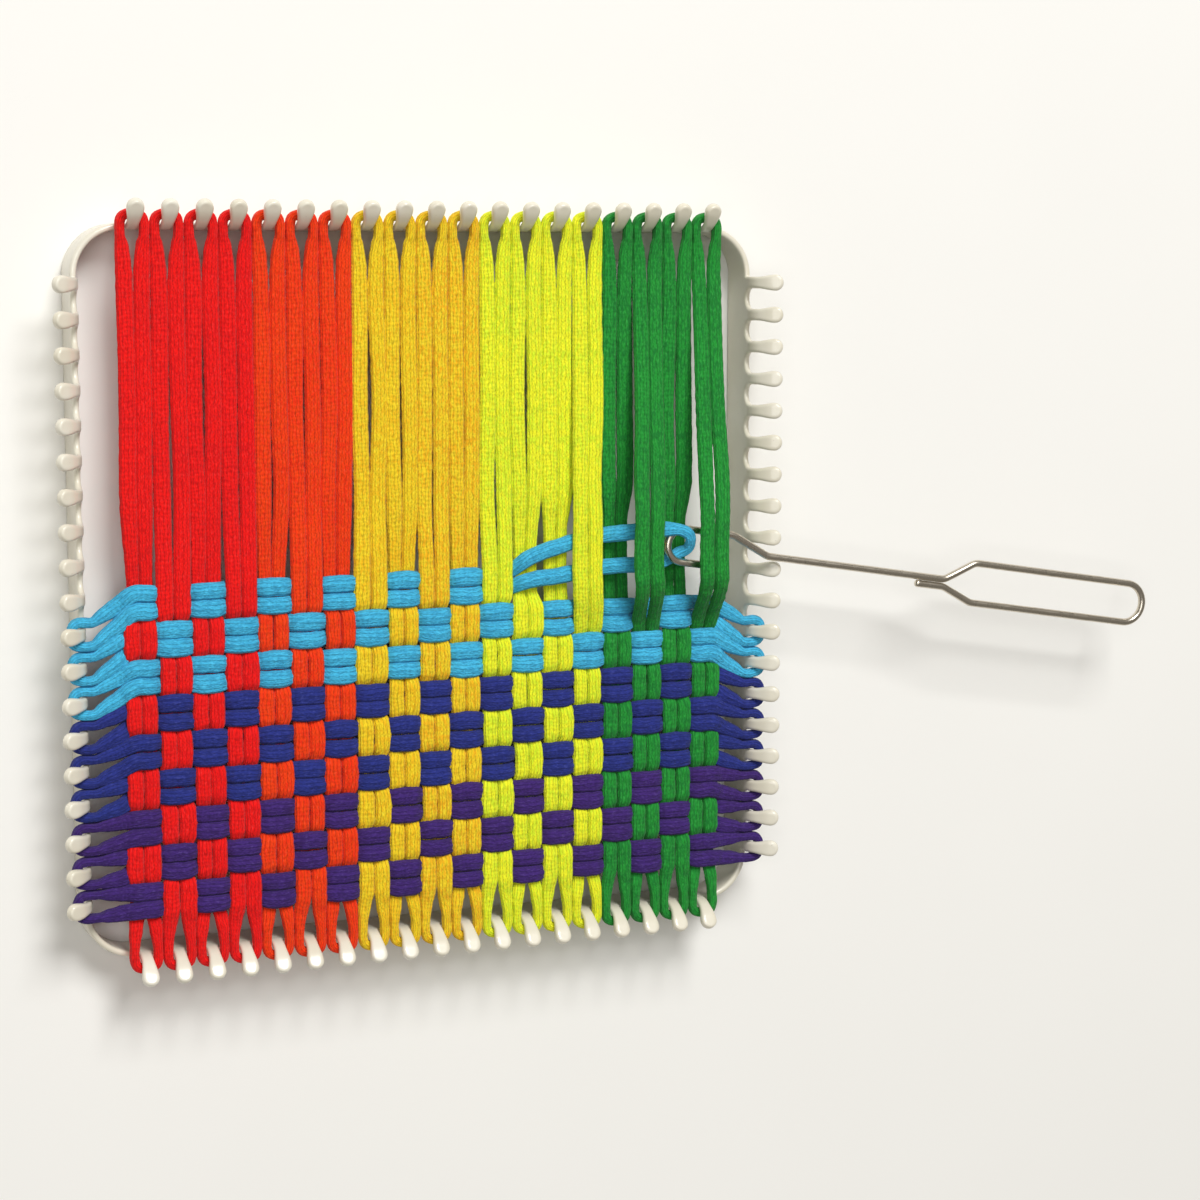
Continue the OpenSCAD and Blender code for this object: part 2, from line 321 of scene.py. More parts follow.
def drawnSteel(name):
    # Bright wire: fine die lines along it, handling marks and a slightly duller tone in patches
    steel = Finish(name, Metallic=1.0)
    lines = steel.streaks(steel.uvPlace(), wireSkin["dieLines"], 3.0)
    marks = steel.noise(steel.objectPlace(), wireSkin["marks"], 4.0).between(0.45, 0.75)
    tone = steel.mix(marks * 0.6, *wireSkin["tones"])
    return steel.shade(Base_Color=tone, Roughness=0.2 + lines * 0.14 + marks * 0.12,
                       Normal=steel.bump(lines * 0.5 + marks * 0.3, wireSkin["depth"]))


tableTones = (0.92, 0.91, 0.87, 1), (0.945, 0.935, 0.895, 1)


def paleTable(name):
    # A smooth top in two pale tones that hardly part
    table = Finish(name, Roughness=0.7, Specular_IOR_Level=0.2)
    return table.shade(Base_Color=table.mix(table.noise(table.objectPlace(), 14.0, 3.0), *tableTones))


# The enamelled frame

comb = {
    "wallHeight": 11.0,  # from the table to the bottoms of the notches
    "bendHeight": 12.0,  # and to where the sheet starts to bend outwards
    "bendRadius": 6.5,
    "lean": math.radians(62),
    "headRadius": 2.15,
    "swellFrom": 15.6,  # where the neck starts to widen, as a length up the middle of the sheet
    "tip": 22.46,  # the same to the tip of a peg
    "edge": 0.72,  # rounding of the enamelled edges
    "bead": 0.3,  # how much the enamel thickens on a head, on each side
    "beadFrom": 5.6,  # how far below the tip it starts to thicken
    "beadRise": 3.2,  # and over what length
    "endLand": 0.4,  # plain edge between the last neck and the corner
    "notchSteps": 8,
    "neckSteps": 14,
    "headSteps": 10,
    "faceSteps": 6,
    "edgeSteps": 6,
    "wallSteps": 5,
    "cornerSteps": 14,
    "sameWithin": 0.004,  # points nearer than this are joined
}
lastPeg = (loom["pegs"] - 1) / 2 * loom["pitch"]
straight = lastPeg + loom["neck"] / 2 + comb["endLand"]  # half of a side's straight stretch


def leanedSheet(x, up, off):
    # Carries a point of the flat comb onto the sheet: upright, then an arc of the bend radius, then
    # straight. x runs along the side, up is the length up the sheet's middle, off how far it lies off that.
    lean, radius = comb["lean"], comb["bendRadius"]
    turned = np.clip((up - comb["bendHeight"]) / radius, 0, lean)
    rest = np.maximum(0, up - comb["bendHeight"] - radius * lean)
    out = radius * (1 - np.cos(turned)) + rest * math.sin(lean) + wallMiddle + off * np.cos(turned)
    z = np.minimum(up, comb["bendHeight"]) + radius * np.sin(turned) + rest * math.cos(lean)
    return np.stack([x, out, z - off * np.sin(turned)], -1)


def halfOutline(notch):
    # Right half of a peg's outline, from the bottom of its notch up to its tip, with outward normals:
    # a quarter circle of the notch's radius, a neck that swells by t^2 (3 - 2t), and a quarter of the head
    half, head = loom["neck"] / 2, comb["headRadius"]
    a = np.linspace(0, math.pi / 2, comb["notchSteps"] + 1)
    bottom = [half + notch - notch * np.sin(a), comb["wallHeight"] + notch - notch * np.cos(a),
              np.sin(a), np.cos(a)]
    headMiddle = comb["tip"] - head
    up = np.linspace(comb["wallHeight"] + notch, headMiddle, comb["neckSteps"] + 1)[1:]
    swell = headMiddle - comb["swellFrom"]
    t = np.clip((up - comb["swellFrom"]) / swell, 0, 1)
    slope = (head - half) * 6 * t * (1 - t) / swell
    level = 1 / np.sqrt(1 + slope**2)
    neck = [half + (head - half) * t * t * (3 - 2 * t), up, level, -slope * level]
    b = np.linspace(0, math.pi / 2, comb["headSteps"] + 1)[1:]
    top = [head * np.cos(b), headMiddle + head * np.sin(b), np.cos(b), np.sin(b)]
    return np.concatenate([np.stack(p, 1) for p in (bottom, neck, top)])


def pegRings(x, leftNotch, rightNotch):
    # Rings round one peg, each from the left edge over the inner face and right edge to the outer face
    left, right = halfOutline(leftNotch) * [-1, 1, -1, 1], halfOutline(rightNotch)
    edge = comb["edge"]
    a = np.linspace(0, math.pi, comb["edgeSteps"] + 1)
    share = np.linspace(0, 1, comb["faceSteps"] + 1)[1:-1]
    headed = np.clip((right[:, 1] - comb["tip"] + comb["beadFrom"]) / comb["beadRise"], 0, 1)
    thick = (loom["sheet"] / 2 + comb["bead"] * headed * headed * (3 - 2 * headed))[:, None]

    def side(p, turn):  # round an edge, from one face to the other
        inset = edge * (1 - np.sin(turn))[None, :]
        off = (thick - edge) * np.sign(np.cos(turn)) + edge * np.cos(turn)[None, :]
        across, up = p[:, :1] - p[:, 2:3] * inset, p[:, 1:2] - p[:, 3:4] * inset
        return np.stack([across, up, off + 0 * inset], -1)

    def face(before, after):  # straight from one edge to the other
        return before[:, -1:] * (1 - share)[None, :, None] + after[:, :1] * share[None, :, None]

    rightEdge, leftEdge = side(right, math.pi - a), side(left, a)
    ring = np.concatenate([leftEdge, face(leftEdge, rightEdge), rightEdge, face(rightEdge, leftEdge)], 1)
    return leanedSheet(ring[..., 0] + x, ring[..., 1], ring[..., 2])


def edgeOff(a):
    # How far a rounded edge lies off the sheet's middle: the inner face at angle 0, the outer one at pi
    return -(loom["sheet"] / 2 - comb["edge"]) * np.sign(np.cos(a)) - comb["edge"] * np.cos(a)


def wallSection():
    # The wall below the notches: down its inner face, round its bottom edge and up its outer face, as
    # places off the sheet's middle and heights
    edge, half = comb["edge"], loom["sheet"] / 2
    z = np.linspace(comb["wallHeight"] - edge, edge, comb["wallSteps"] + 1)
    a = np.linspace(0, math.pi, comb["edgeSteps"] + 1)[1:-1]
    off = np.concatenate([np.full_like(z, -half), edgeOff(a), np.full_like(z, half)])
    return off, np.concatenate([z, edge - edge * np.sin(a), z[::-1]])


def rimSection():
    # The rounded top of the wall over a corner, where there are no pegs
    a = np.linspace(0, math.pi, comb["edgeSteps"] + 1)
    return edgeOff(a), comb["wallHeight"] - comb["edge"] + comb["edge"] * np.sin(a)


def sheetPatch(plan, normal, section):
    # Carries a section along the sheet. Plan holds points of its middle line, normal points outwards.
    off, height = section
    points = plan[:, None] + normal[:, None] * off[None, :, None]
    return np.concatenate([points, np.broadcast_to(height[None, :, None], points.shape[:2] + (1,))], -1)


def enamelledFrame():
    # One closed skin: rings up each peg, the wall below them, and a plain rim over each rounded corner.
    # The patches of one side and one corner are made once and turned by quarters.
    patches, stops = [], []
    half, notch = loom["neck"] / 2, (loom["pitch"] - loom["neck"]) / 2
    for peg in range(1, loom["pegs"] + 1):
        x = columnX(peg)
        left, right = [comb["endLand"] if last else notch for last in (peg == 1, peg == loom["pegs"])]
        patches.append((pegRings(x, left, right), True))
        stops.append(np.linspace(x - half - left, x + half + right, comb["faceSteps"] + 1))
    along = np.unique(np.round(np.concatenate(stops), 6))
    side = np.stack([along, np.full_like(along, wallMiddle)], -1)
    turn = np.linspace(0, math.pi / 2, comb["cornerSteps"] + 1)
    normal = np.stack([np.sin(turn), np.cos(turn)], -1)
    corner = straight + (wallMiddle - straight) * normal
    patches += [(sheetPatch(side, np.tile([0.0, 1.0], (len(along), 1)), wallSection()), False),
                (sheetPatch(corner, normal, wallSection()), False),
                (sheetPatch(corner, normal, rimSection()), False)]
    points, faces, first = [], [], 0
    for quarter in range(4):
        c, s = round(math.cos(quarter * math.pi / 2)), round(math.sin(quarter * math.pi / 2))
        for grid, ringed in patches:
            p = grid.reshape(-1, 3)
            points.append(np.stack([p[:, 0] * c - p[:, 1] * s, p[:, 0] * s + p[:, 1] * c, p[:, 2]], -1))
            faces.append(gridFaces(grid.shape[0], grid.shape[1], False, ringed, first))
            first += len(p)
    piece = meshPiece("enamelled_frame", np.concatenate(points), np.concatenate(faces))
    mergePoints(piece, comb["sameWithin"])
    return piece


enamel = enamelledFrame()
enamel.data.materials.append(creamEnamel("cream enamel"))
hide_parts("loom_frame")
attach(enamel, "loom")
print("frame:", len(enamel.data.polygons), "faces")


# Lines that pieces follow

def easedLoop(points, step):
    # A closed line of cubic pieces through the points. In x and y the slope at a point is the mean of the
    # rates before and after it. Height, width and thickness take their harmonic mean, or 0 where the rates
    # have opposite signs, so that they never swing past a point.
    p = np.asarray(points, float)
    p = np.concatenate([p, p[:1]])
    gaps = np.linalg.norm(np.diff(p[:, :3], axis=0), axis=1)
    t = np.concatenate([[0], np.cumsum(gaps)])
    rate = np.diff(p, axis=0) / gaps[:, None]
    before, after = np.concatenate([rate[-1:], rate]), np.concatenate([rate, rate[:1]])
    both = before * after
    slope = np.where(both > 0, 2 * both / np.where(both > 0, before + after, 1), 0)
    slope[:, :2] = (before + after)[:, :2] / 2
    at = np.linspace(0, t[-1], int(round(t[-1] / step)) + 1)[:-1]
    k = np.clip(np.searchsorted(t, at, side="right") - 1, 0, len(gaps) - 1)
    h, q = gaps[k][:, None], ((at - t[k]) / gaps[k])[:, None]
    return (p[k] * (2 * q**3 - 3 * q**2 + 1) + p[k + 1] * (3 * q**2 - 2 * q**3)
            + slope[k] * h * (q**3 - 2 * q**2 + q) + slope[k + 1] * h * (q**3 - q**2))


def directions(line, closed):
    # Ahead along the line, across it on the level, and up from both
    ahead = (np.roll(line, -1, 0) - np.roll(line, 1, 0)) if closed else np.gradient(line, axis=0)
    ahead = ahead / np.linalg.norm(ahead, axis=1, keepdims=True)
    across = np.stack([-ahead[:, 1], ahead[:, 0], 0 * ahead[:, 0]], 1)
    across /= np.linalg.norm(across, axis=1, keepdims=True)
    return ahead, across, np.cross(ahead, across)


def alongLine(line):
    # Length from the first point to each point
    return np.concatenate([[0], np.cumsum(np.linalg.norm(np.diff(line, axis=0), axis=1))])


# Knitted loops

strand = {
    "thick": 2.15,
    "thin": 1.7,  # where it is squeezed over the wire
    "squeezed": (2.4, 3.0),  # width and thickness beside a peg
    "warpWide": 4.1,
    "warpTucked": 3.5,  # width where the other strand lies on top
    "weftWide": 4.45,
    "weftTucked": 3.7,
    "warpRise": 1.0,  # how far it lies above or below the weave's height at a crossing
    "weftRise": 1.5,
    "warpCrest": 2.6,  # half of the level stretch on top of or below a crossing strand
    "weftCrest": 1.7,
    "gap": 0.06,  # from the middle of the loop to each strand
    "pegGap": 0.15,
    "wireGap": 0.1,
    "besidePeg": (87.6, 91.0),  # out from the middle of the loom, straight beside the peg
    "roundPeg": ((92.2, 2.4), (92.8, 1.2)),  # the same where it turns, and how far from the peg's middle
    "tip": 93.0,
    # Where a strand leaves its peg: its share of the spread there, place, width and thickness
    "warpFar": ((0.75, 86, 3.1, 2.5), (0.25, 81.5, 3.8, 2.3)),
    "warpNear": (0.6, -83.5, 3.3, 2.5),
    "weftEnds": ((0.8, 85.5, 3.3, 2.6, 0.1), (0.42, 81.5, 4.1, 2.3, 0.4)),  # and how far it rises
    "freePlaces": (74, 45, 24),  # points of an upright strand's free stretch
    "freeWidens": 0.08,
    "round": 2.3,  # power of the flattened section
    "step": 0.55,
    "sides": 32,
    "ribs": 8,
    "ribDepth": 0.09,
    "ribTwist": 0.8,
    "breathing": 0.04,  # share by which a strand is wider and thinner in some places
    "breathLengths": (18, 60),  # from one such place to the next, in mm
    "lumpDepth": 0.1,
    "lumpLengths": (2.2, 7.0),
    "lumpTurns": (1, -2, 3, -1, 2),  # how often each wave of lumps goes round the strand
    "drift": (0.22, 0.12),  # how far a free upright strand strays, sideways and in height
    "sway": (0.2, 0.35),  # how far an upright loop strays in the rows, usual and most
    "weftDrift": (0.14, 0.25),  # the same for a crossing strand
    "seeds": {"warpLine": 100, "weftLine": 200, "warpSkin": 300, "weftSkin": 400},
}
pegOff = loom["neck"] / 2 + strand["pegGap"] + strand["squeezed"][0] / 2  # beside the middle of a peg

# The hook's sizes stand here because the pulled loop goes round it
hookShape = {
    "wire": 2.0,
    "height": 21.5,
    "turn": math.radians(-9),  # which way it points, from the x axis
    "left": 1.1,  # how far the crook's middle lies to the left of the last upright loop but one
    "beyond": 8.95,  # and beyond the pulled loop's row
    "gap": 8.8,  # between the crook's two limbs
    "freeLimb": 7.0,  # how far they reach from its middle
    "longLimb": 14.0,
    "slant": 11.0,  # where the long limb comes back to the shank's line
    "length": 150.0,
    "handle": 66.0,
    "handleGap": 11.0,
    "neck": 9.0,  # length over which the handle opens
    "tuckGap": 0.05,  # between the shank and the wire's tucked end
    "elbow": 4.0,  # radius of the bends
    # How the wire's ends close: mm from the end, and share of the radius
    "dome": ((0.0, 0.0), (0.06, 0.45), (0.18, 0.7), (0.38, 0.88), (0.62, 0.97)),
    "sides": 28,
    "step": 0.45,
    "sameWithin": 0.002,
}
crookRadius = hookShape["gap"] / 2
crook = np.array([columnX(loom["pegs"] - 1) - hookShape["left"],
                  rowY(loom["firstRow"]) + hookShape["beyond"]])
overWire = hookShape["height"] + hookShape["wire"] / 2 + strand["thin"] / 2 + strand["wireGap"]
underWire = hookShape["height"] - hookShape["wire"] / 2 - strand["thin"] / 2 - strand["wireGap"]

# How far the far and near strands of the pulled loop lie beyond its row, and their heights, at upright
# loops 13 to 17
pulledFrom = 13
pulledPlaces = [
    (6.75, 0.95, 15.9, 15.9),
    (9.55, 1.85, 16.1, 16.1),
    (11.35, 3.05, 15.0, 15.0),
    (12.55, 4.05, 18.3, 17.9),
    (13.35, 4.15, 21.6, 19.2),
]
pulledSize = (4.1, 2.15)

# Its turn round the crook, over the wire and back under it: place from the crook's middle, height
caughtPlaces = [
    (-1.5, crookRadius - 0.1, overWire),
    (1.2, crookRadius - 1.8, overWire - 0.3),
    (1.5, -0.6, hookShape["height"]),
    (-0.9, 2.1 - crookRadius, underWire + 0.3),
    (-3.4, 0.7 - crookRadius, underWire - 0.1),
]
caughtSize = (3.0, strand["thin"])

shed = {
    "heights": {  # of the upright loops that the hook passes under, where it passes
        15: pulledPlaces[2][2] + strand["thick"] + 0.5,  # just over the pulled strands
        17: 25.1,
        19: overWire + 2.0,
    },
    "low": 13.0,  # height of the loops between them
    "pastStrands": 2.8,  # how far a loop keeps that height beyond the pulled strands
    "pastCrook": {18: (1, 4), 19: (1, 2.4)},  # the same beyond the crook, to the far and the near side
    "riseFrom": 80,  # where a lifted loop starts to rise, near its far peg
    "aside": {15: 0.3, 17: 0.33, 19: 0.19},  # how far a lifted loop leans to the left for each mm of rise
    "spread": 0.45,  # how much a strand widens beside a lifted loop
}


def weftOnTop(r, c):
    # Rows and upright loops alternate as on a chessboard, but past loop 13 the pulled one is a step off
    changed = r == loom["firstRow"] and c > pulledFrom
    return (r - loom["firstRow"] + c + (0 if changed else 1)) % 2 == 0


def liftOf(c):
    # Height of an upright loop at the pulled loop, and where that stretch starts and ends
    z = shed["heights"].get(c, shed["low"])
    if c in shed["pastCrook"]:
        far, near = shed["pastCrook"][c]
        return z, crook[1] + crookRadius + far, crook[1] - crookRadius - near
    y = rowY(loom["firstRow"])
    far, near = pulledPlaces[c - pulledFrom][:2]
    return z, y + far + shed["pastStrands"], y + near - shed["pastStrands"]


def peggedEnd(x, side, out):
    # Strand points beside and round a peg: x is the middle of the loop, side and out are each 1 or -1
    spots = [(place, pegOff) for place in strand["besidePeg"]] + list(strand["roundPeg"])
    z = loom["weaveHeight"]
    return [(x + side * off, out * place, z, *strand["squeezed"]) for place, off in spots]


def pegTip(x, out):  # the outermost point of a loop's turn round a peg
    return [(x, out * strand["tip"], loom["weaveHeight"], *strand["squeezed"])]


def warpStrand(c, side, drift, sway):
    # One strand of an upright loop, from its far peg to its near one: straight and free as far as the
    # pulled loop, then in steps over and under the rows. A lifted loop rises evenly from the far side.
    w, thick = strand["warpWide"], strand["thick"]
    off = w / 2 + strand["gap"]
    x, z = columnX(c), loom["weaveHeight"]
    aside = shed["aside"].get(c, 0)
    free = w + (shed["spread"] if c + 1 in shed["heights"] else strand["freeWidens"])

    def fanned(share, y, wide, high):
        return x + side * (pegOff * share + off * (1 - share)), y, z, wide, high

    def beside(wide):
        return x + side * (wide / 2 + strand["gap"])

    points = [fanned(*end) for end in strand["warpFar"]]
    stray = zip(strand["freePlaces"], (0, drift[0], drift[1]), (0, drift[2], 0), (w, free, free))
    for y, shift, bob, wide in stray:
        rise = 0
        if c in shed["heights"]:
            height, far, near = liftOf(c)
            rise = (height - z) * (shed["riseFrom"] - y) / (shed["riseFrom"] - far)
        points.append((beside(wide) + shift - rise * aside, y, z + rise + bob, wide, thick))
    for r in range(loom["firstRow"], loom["pegs"] + 1):
        under = weftOnTop(r, c)
        wide = (strand["warpTucked"] if under else w) + sway[-r]
        if r == loom["firstRow"] and c >= pulledFrom:
            height, far, near = liftOf(c)
            wide = w if height > z else wide
            lean = aside * max(0, height - z)
            points += [(beside(wide) - lean, y, height, wide, thick) for y in (far, near)]
            continue
        height = z + (-1 if under else 1) * strand["warpRise"]
        ends = [-1] if r == loom["firstRow"] + 1 and c in shed["heights"] else [1, -1]
        points += [(beside(wide) + sway[r], rowY(r) + end * strand["warpCrest"], height, wide, thick)
                   for end in ends]
    return points + [fanned(*strand["warpNear"])]


def weftStrand(r, side, last, drift):
    # One strand of a crossing loop, from its left peg in steps over and under the upright loops 1 to last,
    # and on to its right peg where it crosses them all
    z, y = loom["weaveHeight"], rowY(r)
    off = strand["weftWide"] / 2 + strand["gap"]
    rightEnd = [(place, pegY(r) * share + y * (1 - share) + side * (pegOff * share + off * (1 - share)),
                 z + rise, wide, high) for share, place, wide, high, rise in strand["weftEnds"]]
    points = [(-place, *rest) for place, *rest in rightEnd]
    for c in range(1, last + 1):
        top = weftOnTop(r, c)
        wide = (strand["weftWide"] if top else strand["weftTucked"]) + drift[-c]
        height = z + (1 if top else -1) * strand["weftRise"]
        place = y + side * (wide / 2 + strand["gap"]) + drift[c]
        points += [(columnX(c) + end * strand["weftCrest"], place, height, wide, strand["thick"])
                   for end in (-1, 1)]
    return points + (rightEnd[::-1] if last == loom["pegs"] else [])


def swapped(points):
    # The same points with x and y changed over, for loops that run the other way
    return [(p[1], p[0]) + tuple(p[2:]) for p in points]


def closedWarp(c, chance):
    # From the far peg down the right strand, round the near peg and up the left strand
    sideways, inHeight = strand["drift"]
    drifts = [np.append(chance.normal(0, sideways, 2), chance.normal(0, inHeight)) for _ in range(2)]
    usual, most = strand["sway"]
    sway = chance.normal(0, usual, loom["pegs"] + 1).clip(-most, most)
    x = columnX(c)
    right, left = warpStrand(c, 1, drifts[0], sway), warpStrand(c, -1, drifts[1], sway)
    return (pegTip(x, 1) + peggedEnd(x, 1, 1)[::-1] + right + peggedEnd(x, 1, -1)
            + pegTip(x, -1) + peggedEnd(x, -1, -1)[::-1] + left[::-1] + peggedEnd(x, -1, 1))


def closedWeft(r, chance):
    # Round the left peg, along the far strand, round the right peg or through the hook, and back
    usual, most = strand["weftDrift"]
    drifts = [chance.normal(0, usual, loom["pegs"] + 1).clip(-most, most) for _ in range(2)]
    y, pulled = pegY(r), r == loom["firstRow"]
    last = pulledFrom - 1 if pulled else loom["pegs"]
    if pulled:
        far, near = [[(columnX(pulledFrom + i), rowY(r) + p[k], p[k + 2], *pulledSize)
                      for i, p in enumerate(pulledPlaces)] for k in (0, 1)]
        caught = [(crook[0] + dx, crook[1] + dy, z, *caughtSize) for dx, dy, z in caughtPlaces]
        end = far + caught + near[::-1]
    else:
        end = swapped(peggedEnd(y, 1, 1) + pegTip(y, 1) + peggedEnd(y, -1, 1)[::-1])
    return (swapped(pegTip(y, -1) + peggedEnd(y, 1, -1)[::-1]) + weftStrand(r, 1, last, drifts[0]) + end
            + weftStrand(r, -1, last, drifts[1])[::-1] + swapped(peggedEnd(y, -1, -1)))


def meanWave(chance, lengths, turns, length, s, a):
    # The mean of a few cosine waves along a loop, each with a length and a phase of its own, that go round
    # the strand as often as turns says
    periods = chance.uniform(*lengths, len(turns))
    phases = chance.uniform(0, 2 * math.pi, len(turns))
    waves = [np.cos(round(length / period) * s + turn * a + phase)
             for period, turn, phase in zip(periods, turns, phases)]
    return sum(waves) / len(turns)


def loopPiece(name, points, seed):
    # A flattened round section, |across|^n + |up|^n = 1, carried along the line. Its skin has ribs that
    # run along it, cos(ribs x angle), and soft lumps. Slow waves, the breath, make it wider and thinner.
    line = easedLoop(points, strand["step"])
    ahead, across, up = directions(line[:, :3], True)
    along = alongLine(line[:, :3])
    length = along[-1] + np.linalg.norm(line[0, :3] - line[-1, :3])
    fit = round(length / knit["stitch"]) * knit["stitch"] / length  # so that whole stitches go round
    chance = np.random.default_rng(seed)
    a = np.linspace(-math.pi / 2, 1.5 * math.pi, strand["sides"], endpoint=False)[None, :]
    s = (along / length * 2 * math.pi)[:, None]
    power = 2 / strand["round"]
    level, height = [np.sign(f(a)) * np.abs(f(a)) ** power for f in (np.cos, np.sin)]
    lumps = meanWave(chance, strand["lumpLengths"], strand["lumpTurns"], length, s, a)
    breath = meanWave(chance, strand["breathLengths"], (0, 0, 0), length, s, a)
    ribs = np.cos(strand["ribs"] * a + strand["ribTwist"] * breath)
    skin = strand["ribDepth"] * ribs + strand["lumpDepth"] * lumps
    wide = line[:, 3:4] / 2 * (1 + strand["breathing"] * breath) + skin
    thick = line[:, 4:5] / 2 * (1 - strand["breathing"] * breath) + skin
    rings = (line[:, None, :3] + across[:, None] * (level * wide)[..., None]
             + up[:, None] * (height * thick)[..., None])
    return tubePiece(name, rings, along * fit, True)


loopColours = {  # the dye and its mottling
    "loop_red": ((1.00, 0.008, 0.006), (0.85, 0.006, 0.008)),
    "loop_orange_red": ((1.00, 0.056, 0.003), (0.98, 0.034, 0.004)),
    "loop_yellow": ((1.00, 0.71, 0.019), (1.00, 0.55, 0.012)),
    "loop_golden": ((1.00, 0.71, 0.021), (1.00, 0.49, 0.012)),
    "loop_lime": ((1.00, 1.00, 0.024), (0.72, 0.95, 0.028)),
    "loop_green": ((0.018, 0.325, 0.039), (0.011, 0.21, 0.033)),
    "loop_sky_blue": ((0.070, 0.54, 0.85), (0.048, 0.40, 0.68)),
    "loop_navy": ((0.025, 0.038, 0.26), (0.019, 0.029, 0.19)),
    "loop_purple": ((0.060, 0.023, 0.195), (0.046, 0.017, 0.138)),
}
cottons = {slotName: knittedCotton(slotName.replace("_", " "), *dyes)
           for slotName, dyes in loopColours.items()}
warpSlots = (["loop_red"] * 4 + ["loop_orange_red"] * 3 + ["loop_yellow"] * 2 + ["loop_golden"] * 2
             + ["loop_lime"] * 4 + ["loop_green"] * 4)
weftSlots = ["loop_sky_blue"] * 3 + ["loop_navy"] * 3 + ["loop_purple"] * 3


def dressLoop(node, points, slotName, seed):
    # A knitted loop in its cotton, which stands for its CAD node
    piece = loopPiece("knitted_" + node, points, seed)
    piece.data.materials.append(cottons[slotName])
    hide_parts(node)
    return piece


seeds = strand["seeds"]
for number, slotName in enumerate(warpSlots, 1):
    points = closedWarp(number, np.random.default_rng(seeds["warpLine"] + number))
    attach(dressLoop(f"warp_loop_{number:02d}", points, slotName, seeds["warpSkin"] + number), "loom")
print("upright loops:", len(warpSlots))

for number, slotName in enumerate(weftSlots, 1):
    points = closedWeft(loom["firstRow"] + number - 1, np.random.default_rng(seeds["weftLine"] + number))
    piece = dressLoop(f"weft_loop_{number:02d}", points, slotName, seeds["weftSkin"] + number)
    if number == 1:  # the hook draws this one out
        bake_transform(piece)
    else:
        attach(piece, "loom")
print("crossing loops:", len(weftSlots))


# The wire hook

def roundedCorners(corners, step):
    # Straight runs joined by arcs: each corner is (x, y, radius), and the arc touches both its runs
    p = np.array([c[:2] for c in corners], float)
    runs = np.diff(p, axis=0)
    runs /= np.linalg.norm(runs, axis=1, keepdims=True)
    line = [p[:1]]
    for i in range(1, len(p) - 1):
        before, after, radius = runs[i - 1], runs[i], corners[i][2]
        turned = math.atan2(before[0] * after[1] - before[1] * after[0], before @ after)
        a = np.linspace(0, abs(turned), max(2, math.ceil(abs(turned) * radius / step)))[:, None]
        left = math.copysign(1, turned) * np.array([-before[1], before[0]])
        start = p[i] - before * radius * math.tan(abs(turned) / 2)
        line.append(start + radius * (np.sin(a) * before + (1 - np.cos(a)) * left))
    line.append(p[-1:])
    line = np.concatenate(line)
    line = line[np.append(True, np.linalg.norm(np.diff(line, axis=0), axis=1) > 1e-3)]  # each point once
    t = alongLine(line)
    at = np.linspace(0, t[-1], int(t[-1] / step) + 1)
    return np.stack([np.interp(at, t, line[:, k]) for k in (0, 1)], 1)


def wireHook():
    # A circle carried along the bent line; its last rings close each end with a low dome
    h = hookShape
    side, r = h["handleGap"] / 2, crookRadius
    shankEnd = h["length"] - h["handle"] - r
    end = h["length"] - r - h["wire"] / 2
    tuck = h["wire"] + h["tuckGap"]
    flat = roundedCorners([
        (h["freeLimb"], -r, 0), (-r, -r, r), (-r, r, r),  # crook
        (h["longLimb"], r, h["elbow"]), (h["longLimb"] + h["slant"], 0, h["elbow"]),
        (shankEnd, 0, h["elbow"]), (shankEnd + h["neck"], side, h["elbow"]),
        (end, side, side), (end, -side, side),  # handle
        (shankEnd + h["neck"], -side, h["elbow"]), (shankEnd, -tuck, h["elbow"]),
        (shankEnd - h["neck"], -tuck, 0)], h["step"])
    radius = np.full(len(flat), h["wire"] / 2)
    inwards, share = np.array(h["dome"]).T
    dome = share * h["wire"] / 2
    startWay, endWay = [way / np.linalg.norm(way) for way in (flat[1] - flat[0], flat[-1] - flat[-2])]
    flat = np.concatenate([flat[0] + inwards[:, None] * startWay, flat[2:-2],
                           flat[-1] - inwards[::-1, None] * endWay])
    radius = np.concatenate([dome, radius[2:-2], dome[::-1]])
    c, s = math.cos(h["turn"]), math.sin(h["turn"])
    x, y = crook[0] + flat[:, 0] * c - flat[:, 1] * s, crook[1] + flat[:, 0] * s + flat[:, 1] * c
    line = np.stack([x, y, np.full(len(flat), h["height"])], 1)
    ahead, across, up = directions(line, False)
    a = np.linspace(0, 2 * math.pi, h["sides"], endpoint=False)[None, :, None]
    circle = across[:, None] * np.cos(a) + up[:, None] * np.sin(a)
    rings = line[:, None] + radius[:, None, None] * circle
    piece = tubePiece("wire_hook", rings, alongLine(line), False)
    mergePoints(piece, h["sameWithin"])
    return piece


hook = wireHook()
hook.data.materials.append(drawnSteel("drawn steel"))
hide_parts("hook")
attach(hook, "hook")
print("hook:", len(hook.data.polygons), "faces")


# Table, light and camera

studio = {
    "tableHalf": 3000,  # in mm, as is its height
    "tableTop": -0.02,
    "eye": (-0.225, 0.082, 0.658),  # where the photograph was taken from, in metres
    "down": (-0.045, -0.992, 0.11),  # the picture's downward direction
    "margin": 1.06,  # room round the piece
    "aims": 8,  # how often the aim is corrected
    "sensor": 36,
    "lamps": [  # place, size, power in watts
        ((0.26, 1.6, 1.84), 0.96, 47.5),
        ((-0.8, 0.19, 2.08), 1.12, 12.8),
    ],
    "sky": (1, 0.94, 0.85, 1),
    "skyStrength": 0.21,
}

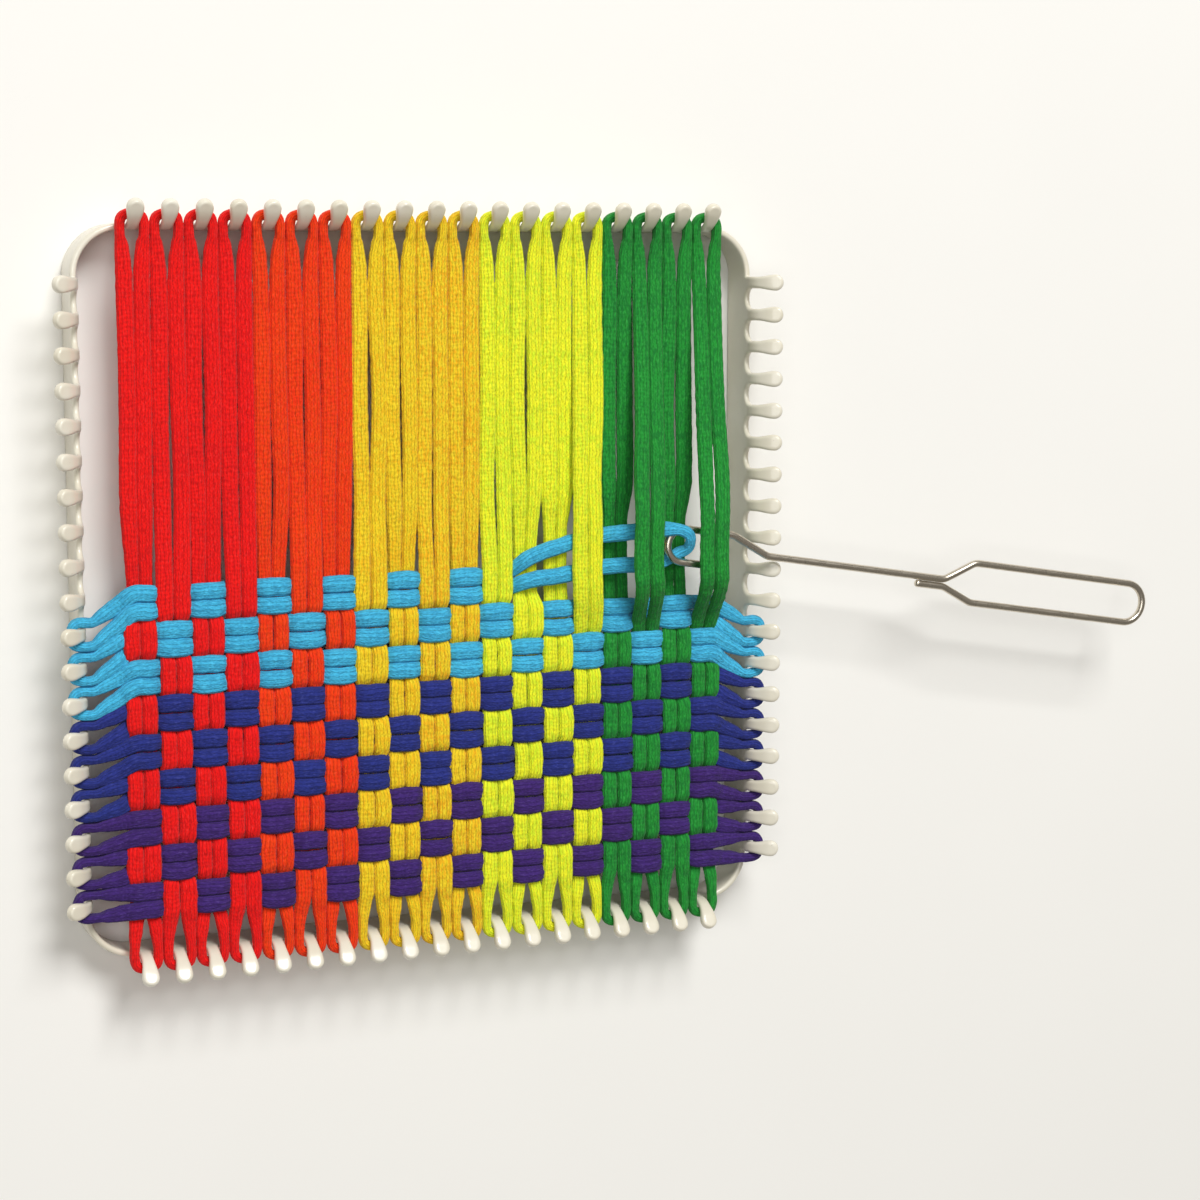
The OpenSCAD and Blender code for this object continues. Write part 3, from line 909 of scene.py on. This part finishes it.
half, top = studio["tableHalf"], studio["tableTop"]
tableCorners = [(-half, -half, top), (half, -half, top), (half, half, top), (-half, half, top)]
table = meshPiece("table", np.array(tableCorners), np.array([[0, 1, 2, 3]]))
table.data.materials.append(paleTable("pale table"))
table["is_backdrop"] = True

for number, (place, size, power) in enumerate(studio["lamps"], 1):
    light = bpy.data.lights.new(f"softbox {number}", "AREA")
    light.size, light.energy = size, power
    lamp = bpy.data.objects.new(f"softbox {number}", light)
    lamp.location = place
    lamp.rotation_euler = Vector(place).to_track_quat("Z", "Y").to_euler()
    bpy.context.scene.collection.objects.link(lamp)

world = bpy.data.worlds.new("studio")
bpy.context.scene.world = world
world.use_nodes = True
sky = world.node_tree.nodes["Background"].inputs
sky["Color"].default_value = studio["sky"]
sky["Strength"].default_value = studio["skyStrength"]
bpy.context.scene.view_settings.view_transform = "Standard"


def photographCamera():
    # Stands where the photograph was taken, turned as it was, and looks at the middle of what it sees.
    # The lens is as long as the piece's corners allow.
    corners = np.array(list(itertools.product(*zip(*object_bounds()))))
    eye = np.array(studio["eye"])
    target = (corners.min(0) + corners.max(0)) / 2
    for _ in range(studio["aims"]):
        reach = np.linalg.norm(target - eye)
        ahead = (target - eye) / reach
        right = np.cross(np.array(studio["down"]), ahead)
        right /= np.linalg.norm(right)
        down = np.cross(ahead, right)
        seen = corners - eye
        x, y = seen @ right / (seen @ ahead), seen @ down / (seen @ ahead)
        target = target + right * reach * (x.max() + x.min()) / 2 + down * reach * (y.max() + y.min()) / 2
    data = bpy.data.cameras.new("photograph")
    camera = bpy.data.objects.new("photograph", data)
    widest = max(abs(x).max(), abs(y).max()) * studio["margin"]
    data.sensor_fit = "HORIZONTAL"
    data.sensor_width = studio["sensor"]
    data.lens = studio["sensor"] / 2 / widest
    data.clip_start, data.clip_end = 0.01, 20
    pose = np.vstack([np.column_stack([right, -down, -ahead, eye]), [0, 0, 0, 1]])
    camera.matrix_world = Matrix(pose.tolist())
    bpy.context.scene.collection.objects.link(camera)
    bpy.context.scene.camera = camera
    print("lens:", round(data.lens, 1), "mm")


photographCamera()
